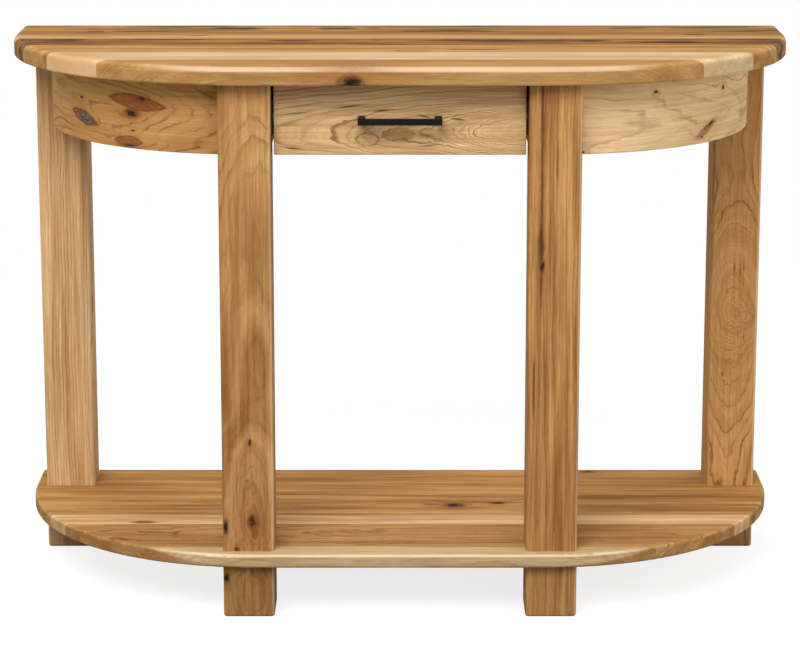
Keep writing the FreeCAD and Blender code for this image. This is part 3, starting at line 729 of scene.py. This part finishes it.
def blackCoat(name):
    material, shader, x, y, z = startMaterial(name)
    point = combine(x, y, z)
    peel = noise(point, pullCoat["peelSize"], pullCoat["peelSeed"])
    cloud = noise(point, pullCoat["cloudSize"], pullCoat["cloudSeed"])
    colour = mixed((peel + cloud) * 0.5, pullCoat["shade"], pullCoat["light"])
    roughness = cloud * pullCoat["cloudRough"] + pullCoat["rough"]
    finishSurface(shader, colour, roughness, peel, pullCoat["peelDepth"])
    shader.inputs["Specular IOR Level"].default_value = pullCoat["gloss"]
    return material


# rolled and plated steel, drawn along the slides
steel = dict(rough=0.2, detail=3.0, drawnSize=(900.0, 12.0, 900.0), drawnSeed=3.0, drawnShare=0.6,
             drawnRough=0.14, drawnDepth=0.00008, cloudSize=(45.0,) * 3, cloudSeed=4.0, cloudShare=0.4,
             cloudRough=0.12)


def platedSteel(name, shade, light):
    material, shader, x, y, z = startMaterial(name)
    point = combine(x, y, z)
    drawn = noise(point, steel["drawnSize"], steel["drawnSeed"], steel["detail"])
    cloud = noise(point, steel["cloudSize"], steel["cloudSeed"], steel["detail"])
    colour = mixed(drawn * steel["drawnShare"] + cloud * steel["cloudShare"], shade, light)
    roughness = drawn * steel["drawnRough"] + cloud * steel["cloudRough"] + steel["rough"]
    finishSurface(shader, colour, roughness, drawn, steel["drawnDepth"])
    shader.inputs["Metallic"].default_value = 1.0
    return material


dress(blackCoat("black_coat"), "drawer_pull")
blackZinc = platedSteel("black_zinc", paint(52, 54, 58), paint(84, 86, 90))
for side in ("left", "right"):
    dress(blackZinc, *(f"{side}_slide_{member}" for member in ("outer", "middle", "inner")))
brightZinc = platedSteel("bright_zinc", paint(168, 172, 176), paint(206, 208, 208))
dress(brightZinc, "top_fasteners", "top_fastener_screws", "slide_rail_screws", "slide_drawer_screws",
      "drawer_front_screws", "pull_screws")
print("metal done")

# floor: pale, keeps a soft shadow, and goes to plain white away from the table
floorLook = dict(size=80.0, colour=0.3, lift=0.8, near=0.9, far=2.2)
bpy.ops.mesh.primitive_plane_add(size=floorLook["size"], location=(0, 0, 0))
floor = bpy.context.object
floor.name = "floor"


def seenStraight(tree):  # 1 for what the camera sees, straight or in metal or glass
    path = tree.nodes.new("ShaderNodeLightPath")
    camera, glossy, through = (Flow(tree, path.outputs[name])
                               for name in ("Is Camera Ray", "Is Glossy Ray", "Is Transmission Ray"))
    return camera.math("MAXIMUM", glossy).math("MAXIMUM", through)


def floorMaterial():
    material = bpy.data.materials.new("pale_floor")
    material.use_nodes = True
    tree = material.node_tree
    tree.nodes.remove(tree.nodes["Principled BSDF"])
    place = tree.nodes.new("ShaderNodeTexCoord")
    split = tree.nodes.new("ShaderNodeSeparateXYZ")
    tree.links.new(place.outputs["Object"], split.inputs[0])
    away = length(Flow(tree, split.outputs[0]), Flow(tree, split.outputs[1]))
    clear = away.step(floorLook["near"], floorLook["far"])
    seen = seenStraight(tree)
    pale = tree.nodes.new("ShaderNodeBsdfDiffuse")
    pale.inputs["Color"].default_value = (floorLook["colour"],) * 3 + (1.0,)
    lift = tree.nodes.new("ShaderNodeEmission")
    plug(lift.inputs["Strength"], seen * floorLook["lift"])
    near = tree.nodes.new("ShaderNodeAddShader")
    tree.links.new(pale.outputs[0], near.inputs[0])
    tree.links.new(lift.outputs[0], near.inputs[1])
    white = tree.nodes.new("ShaderNodeEmission")
    both = tree.nodes.new("ShaderNodeMixShader")
    plug(both.inputs[0], clear * seen)
    tree.links.new(near.outputs[0], both.inputs[1])
    tree.links.new(white.outputs[0], both.inputs[2])
    tree.links.new(both.outputs[0], tree.nodes["Material Output"].inputs[0])
    return material


floor.data.materials.append(floorMaterial())

# world: white where it is seen, and a plain fill on the wood
worldLook = dict(fill=0.23)
world = bpy.data.worlds.new("studio")
bpy.context.scene.world = world
world.use_nodes = True
sky = world.node_tree.nodes["Background"]
sky.inputs["Color"].default_value = (1.0, 1.0, 1.0, 1.0)
plug(sky.inputs["Strength"], seenStraight(world.node_tree) * (1.0 - worldLook["fill"]) + worldLook["fill"])

# a broad key from the front left, a fill from the right, and weaker lamps for sides and back
lamps = {
    "key": dict(place=(-0.9, -2.9, 2.9), aim=(0.0, 0.0, 0.4), size=(2.4, 1.6), watts=132),
    "fill": dict(place=(1.9, -3.5, 1.5), aim=(0.0, 0.0, 0.4), size=(2.0, 2.0), watts=48),
    "sideLeft": dict(place=(-2.6, -0.5, 0.8), aim=(0.0, 0.0, 0.5), size=(1.4, 1.4), watts=17),
    "sideRight": dict(place=(2.6, -0.5, 0.8), aim=(0.0, 0.0, 0.5), size=(1.4, 1.4), watts=22),
    "backLeft": dict(place=(-2.2, 2.2, 1.7), aim=(0.0, 0.0, 0.45), size=(1.6, 1.6), watts=24),
    "backRight": dict(place=(2.2, 2.2, 1.7), aim=(0.0, 0.0, 0.45), size=(1.6, 1.6), watts=24),
}
for name, lamp in lamps.items():
    data = bpy.data.lights.new(name, "AREA")
    data.shape = "RECTANGLE"
    data.size, data.size_y = lamp["size"]
    data.energy = lamp["watts"]
    light = bpy.data.objects.new(name, data)
    bpy.context.scene.collection.objects.link(light)
    light.location = lamp["place"]
    aim = Vector(lamp["aim"]) - Vector(lamp["place"])
    light.rotation_euler = aim.to_track_quat("-Z", "Y").to_euler()
print("floor, world and lamps done")

# camera at the photograph's viewing angle
cameraLook = dict(place=(0.0, -3.845, 1.280), pitch=77.648, lens=126.72, shift=-0.06)
cameraData = bpy.data.cameras.new("camera")
cameraData.lens = cameraLook["lens"]
cameraData.shift_y = cameraLook["shift"]
camera = bpy.data.objects.new("camera", cameraData)
bpy.context.scene.collection.objects.link(camera)
camera.location = cameraLook["place"]
camera.rotation_euler = (math.radians(cameraLook["pitch"]), 0.0, 0.0)
bpy.context.scene.camera = camera
bpy.context.scene.view_settings.view_transform = "Standard"
